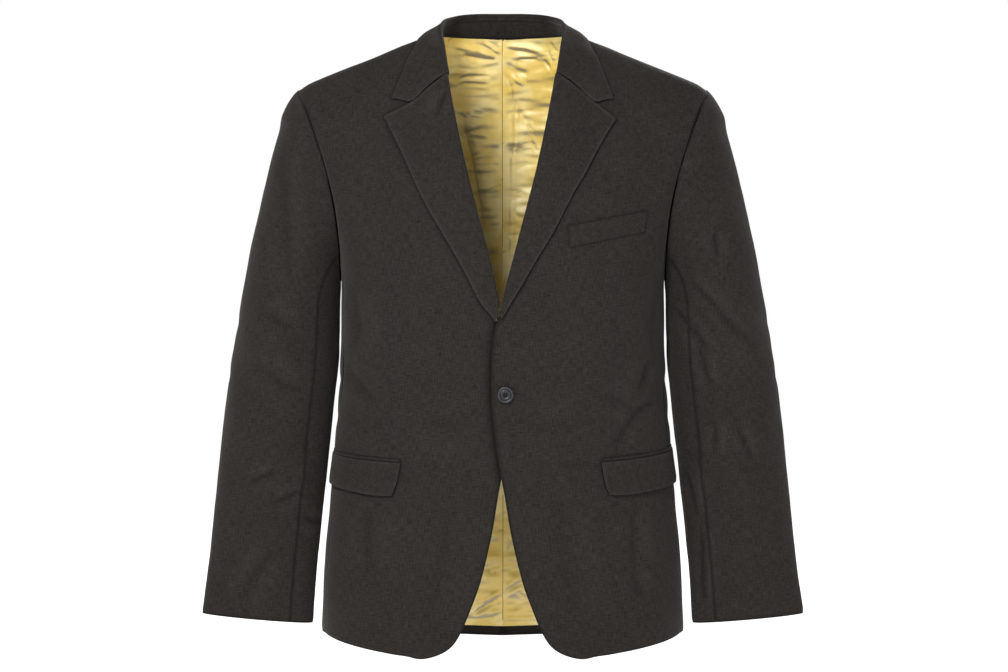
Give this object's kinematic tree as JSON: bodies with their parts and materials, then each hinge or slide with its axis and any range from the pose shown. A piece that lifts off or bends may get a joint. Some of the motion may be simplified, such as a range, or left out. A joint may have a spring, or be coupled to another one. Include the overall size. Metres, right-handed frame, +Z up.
{
  "type": "suit jacket",
  "caption": "Single-breasted suit jacket with notch lapels, flap pockets and a cutaway front, filled out as if worn, hollow.",
  "frame": {"origin": "middle of the neck opening, level with the inner ends of the shoulder seams, where the wearer's neck and shoulders carry the jacket", "axes": "+Z up along the body, +X towards the wearer's left, -Y out of the front"},
  "size_m": [0.7256, 0.2683, 0.7835],
  "materials": {
    "suiting": "matte wool weave",
    "lining": "shot satin",
    "button": "dull polish"
  },
  "bodies": {
    "root": {"front_left": "suiting", "front_right": "suiting", "side_left": "suiting", "side_right": "suiting", "back_left": "suiting", "back_right": "suiting", "upper_sleeve_left": "suiting", "upper_sleeve_right": "suiting", "under_sleeve_left": "suiting", "under_sleeve_right": "suiting", "lapel_left": "suiting", "lapel_right": "suiting", "collar": "suiting", "collar_stand": "suiting", "flap_left": "suiting", "flap_right": "suiting", "jet_left": "suiting", "jet_right": "suiting", "chest_welt": "suiting", "lining_left": "lining", "lining_right": "lining", "front_button": "button"}
  },
  "joints": []
}
